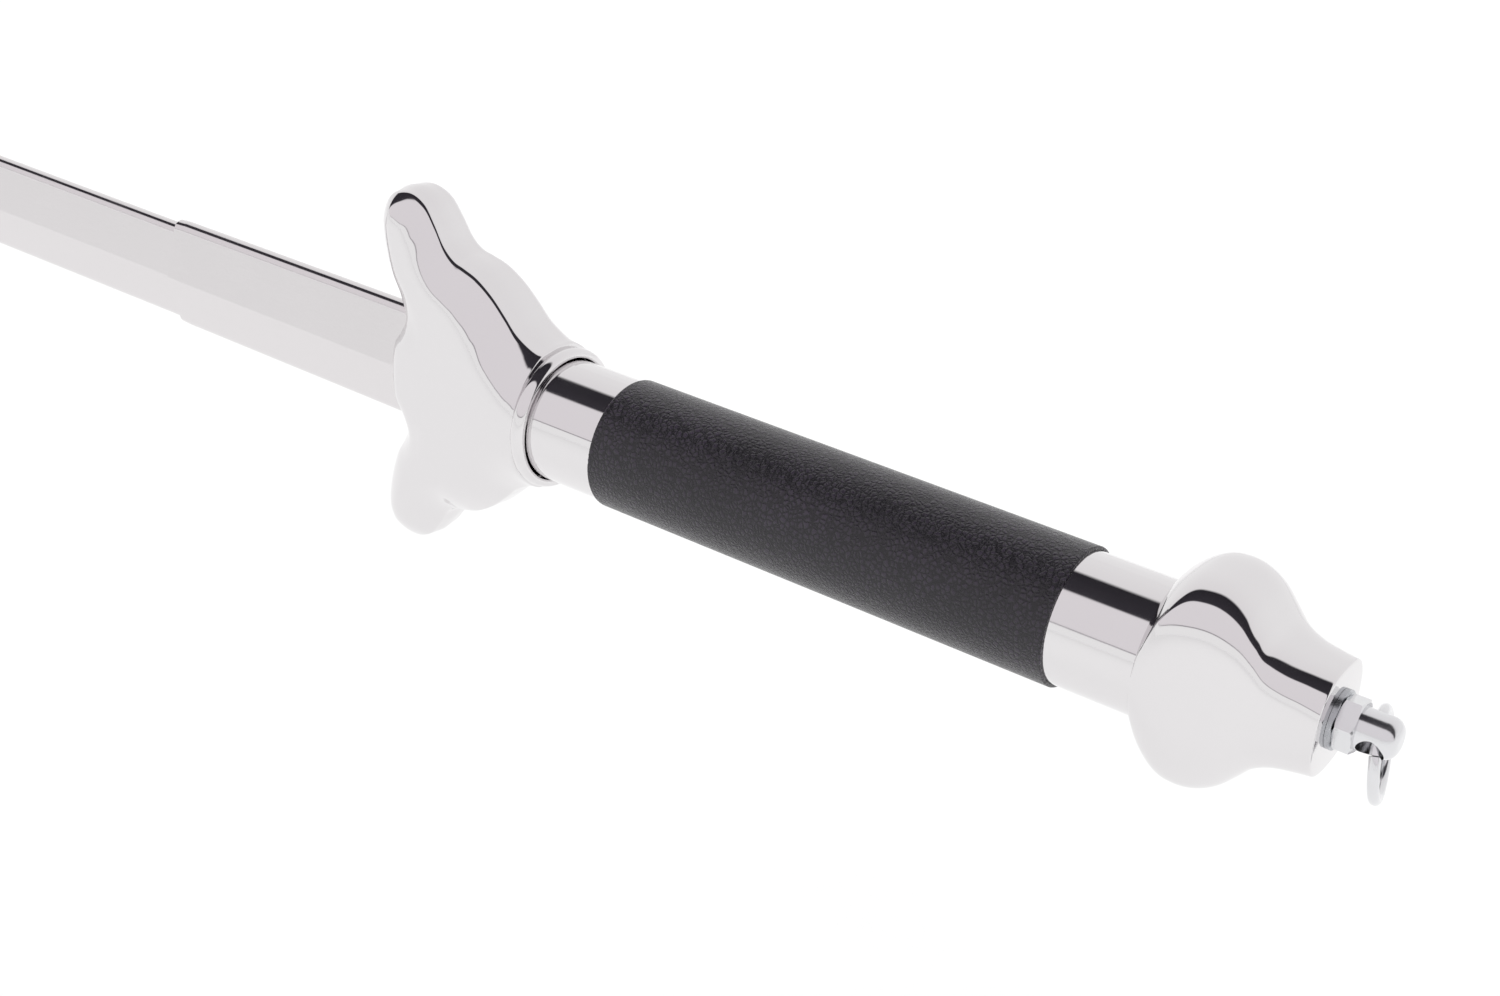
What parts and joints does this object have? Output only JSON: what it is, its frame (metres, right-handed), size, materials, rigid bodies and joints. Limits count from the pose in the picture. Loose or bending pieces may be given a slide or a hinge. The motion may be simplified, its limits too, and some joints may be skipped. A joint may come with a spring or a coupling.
{
  "type": "telescopic practice sword",
  "caption": "Telescopic tai chi practice sword with a collapsible steel blade, polished winged guard and pommel, black leather grip and tassel ring.",
  "frame": {"origin": "centre of the leather grip, on the handle axis", "axes": "+X along the axis to the blade tip, +Z towards one guard wing and blade edge, +Y out of one flat face of the blade"},
  "size_m": [0.982, 0.0348, 0.0948],
  "materials": {
    "mirror_casting": "mirror polished",
    "polished_tube": "mirror polished",
    "blade_steel": "bright polished",
    "bright_steel": "bright",
    "zinc_steel": "plated",
    "black_leather": "fine grain",
    "white_nylon": "moulded",
    "black_rubber": "matte"
  },
  "bodies": {
    "hilt": {"guard_casting": "mirror_casting", "pommel_casting": "mirror_casting", "handle_tube": "polished_tube", "grip_sleeve": "black_leather", "front_bush": "white_nylon", "rear_bush": "white_nylon", "tie_rod": "zinc_steel", "pommel_washer": "zinc_steel", "tassel_eye_nut": "bright_steel", "base_plug": "white_nylon", "base_plug_pin": "zinc_steel", "bumper_pad": "black_rubber", "blade_section_1": "blade_steel"},
    "tassel_ring": {"tassel_ring": "bright_steel"},
    "section_2": {"blade_section_2": "blade_steel"},
    "section_3": {"blade_section_3": "blade_steel"},
    "section_4": {"blade_section_4": "blade_steel"},
    "section_5": {"blade_section_5": "blade_steel"},
    "section_6": {"blade_section_6": "blade_steel"},
    "section_7": {"blade_section_7": "blade_steel", "blade_tip": "blade_steel"}
  },
  "joints": [
    {"name": "ring_swing", "type": "hinge", "parent": "hilt", "child": "tassel_ring", "pos_m": [-0.1264, 0, 0], "axis": [0, -0.8387, 0.5446], "range_deg": [-60, 14]},
    {"name": "slide_2", "type": "slide", "parent": "hilt", "child": "section_2", "axis": [1, 0, 0], "range_m": [-0.098, 0]},
    {"name": "slide_3", "type": "slide", "parent": "section_2", "child": "section_3", "axis": [1, 0, 0], "range_m": [-0.098, 0]},
    {"name": "slide_4", "type": "slide", "parent": "section_3", "child": "section_4", "axis": [1, 0, 0], "range_m": [-0.098, 0]},
    {"name": "slide_5", "type": "slide", "parent": "section_4", "child": "section_5", "axis": [1, 0, 0], "range_m": [-0.098, 0]},
    {"name": "slide_6", "type": "slide", "parent": "section_5", "child": "section_6", "axis": [1, 0, 0], "range_m": [-0.098, 0]},
    {"name": "slide_7", "type": "slide", "parent": "section_6", "child": "section_7", "axis": [1, 0, 0], "range_m": [-0.098, 0]}
  ]
}
